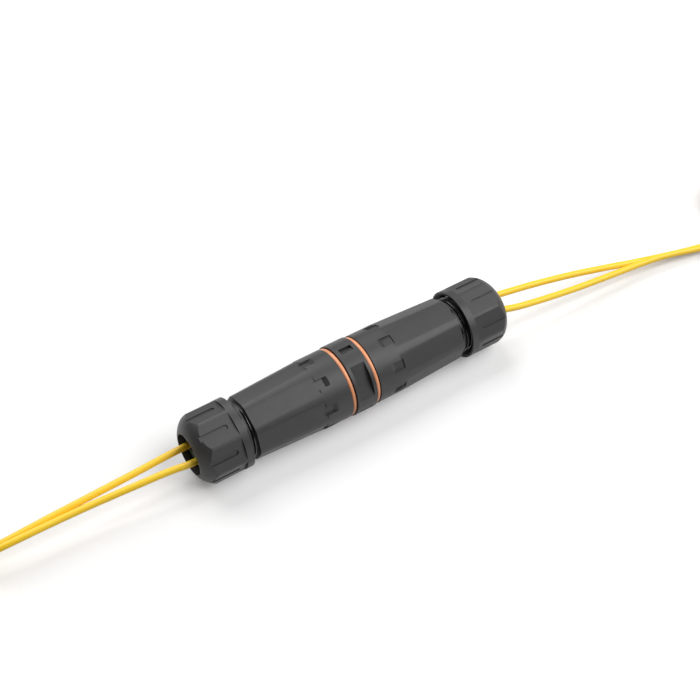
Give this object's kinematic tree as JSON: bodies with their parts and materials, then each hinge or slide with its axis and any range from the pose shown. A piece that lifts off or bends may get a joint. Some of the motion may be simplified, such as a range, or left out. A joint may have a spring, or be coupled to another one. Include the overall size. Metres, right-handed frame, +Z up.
{
  "type": "sealed in-line duplex SC fibre coupler",
  "caption": "Sealed in-line coupler with screw-on housings, gland nuts and O-rings that joins duplex SC fibre leads end to end outdoors.",
  "frame": {"origin": "on the floor under the middle of the coupling ring", "axes": "+X along the coupler towards its right-hand lead, +Y across the pair of plugs, +Z up"},
  "size_m": [0.4326, 0.0368, 0.0296],
  "materials": {
    "charcoal_plastic": "fine moulded satin",
    "orange_rubber": "soft silicone",
    "green_rubber": "soft rubber",
    "white_ceramic": "polished ceramic",
    "steel": "plain",
    "blue_plastic": "smooth",
    "white_plastic": "smooth",
    "blue_rubber": "soft matte",
    "yellow_jacket": "smooth flexible jacket",
    "black_tie": "plain"
  },
  "bodies": {
    "coupling": {"adapter_insert_left": "charcoal_plastic", "adapter_insert_right": "charcoal_plastic", "alignment_sleeve_a": "white_ceramic", "alignment_sleeve_b": "white_ceramic", "boot_left_a": "blue_rubber", "boot_left_b": "blue_rubber", "boot_right_a": "blue_rubber", "boot_right_b": "blue_rubber", "coil_left": "yellow_jacket", "coil_right": "yellow_jacket", "coupling_body": "charcoal_plastic", "crimp_body_left_a": "steel", "crimp_body_left_b": "steel", "crimp_body_right_a": "steel", "crimp_body_right_b": "steel", "ferrule_holder_left_a": "steel", "ferrule_holder_left_b": "steel", "ferrule_holder_right_a": "steel", "ferrule_holder_right_b": "steel", "ferrule_left_a": "white_ceramic", "ferrule_left_b": "white_ceramic", "ferrule_right_a": "white_ceramic", "ferrule_right_b": "white_ceramic", "ferrule_spring_left_a": "steel", "ferrule_spring_left_b": "steel", "ferrule_spring_right_a": "steel", "ferrule_spring_right_b": "steel", "lead_left_a": "yellow_jacket", "lead_left_b": "yellow_jacket", "lead_right_a": "yellow_jacket", "lead_right_b": "yellow_jacket", "o_ring_left": "orange_rubber", "o_ring_right": "orange_rubber", "plug_frame_left_a": "white_plastic", "plug_frame_left_b": "white_plastic", "plug_frame_right_a": "white_plastic", "plug_frame_right_b": "white_plastic", "tie_left": "black_tie", "tie_right": "black_tie"},
    "seal_left": {"cable_seal_left": "green_rubber"},
    "housing_left": {"housing_left": "charcoal_plastic"},
    "nut_left": {"gland_nut_left": "charcoal_plastic"},
    "grip_left_a": {"grip_left_a": "blue_plastic"},
    "grip_left_b": {"grip_left_b": "blue_plastic"},
    "seal_right": {"cable_seal_right": "green_rubber"},
    "housing_right": {"housing_right": "charcoal_plastic"},
    "nut_right": {"gland_nut_right": "charcoal_plastic"},
    "grip_right_a": {"grip_right_a": "blue_plastic"},
    "grip_right_b": {"grip_right_b": "blue_plastic"}
  },
  "joints": [
    {"name": "seal_slide_left", "type": "slide", "parent": "coupling", "child": "seal_left", "axis": [-1, 0, 0], "range_m": [0, 0.00905]},
    {"name": "housing_turn_left", "type": "hinge", "parent": "seal_left", "child": "housing_left", "pos_m": [-0.03, 0, 0.01478], "axis": [-1, 0, 0], "range_deg": [0, 1800]},
    {"name": "nut_slide_left", "type": "slide", "parent": "housing_left", "child": "nut_left", "axis": [-1, 0, 0], "range_m": [0, 0.012]},
    {"name": "grip_pull_left_a", "type": "slide", "parent": "coupling", "child": "grip_left_a", "axis": [-1, 0, 0], "range_m": [0, 0.0015]},
    {"name": "grip_pull_left_b", "type": "slide", "parent": "coupling", "child": "grip_left_b", "axis": [-1, 0, 0], "range_m": [0, 0.0015]},
    {"name": "seal_slide_right", "type": "slide", "parent": "coupling", "child": "seal_right", "axis": [1, 0, 0], "range_m": [0, 0.00905]},
    {"name": "housing_turn_right", "type": "hinge", "parent": "seal_right", "child": "housing_right", "pos_m": [0.03, 0, 0.01478], "axis": [1, 0, 0], "range_deg": [0, 1800]},
    {"name": "nut_slide_right", "type": "slide", "parent": "housing_right", "child": "nut_right", "axis": [1, 0, 0], "range_m": [0, 0.012]},
    {"name": "grip_pull_right_a", "type": "slide", "parent": "coupling", "child": "grip_right_a", "axis": [1, 0, 0], "range_m": [0, 0.0015]},
    {"name": "grip_pull_right_b", "type": "slide", "parent": "coupling", "child": "grip_right_b", "axis": [1, 0, 0], "range_m": [0, 0.0015]}
  ],
  "couplings": [
    {"joint": "seal_slide_left", "follows": "housing_turn_left", "m_per_rad": 0.00028648},
    {"joint": "seal_slide_right", "follows": "housing_turn_right", "m_per_rad": 0.00028648}
  ]
}
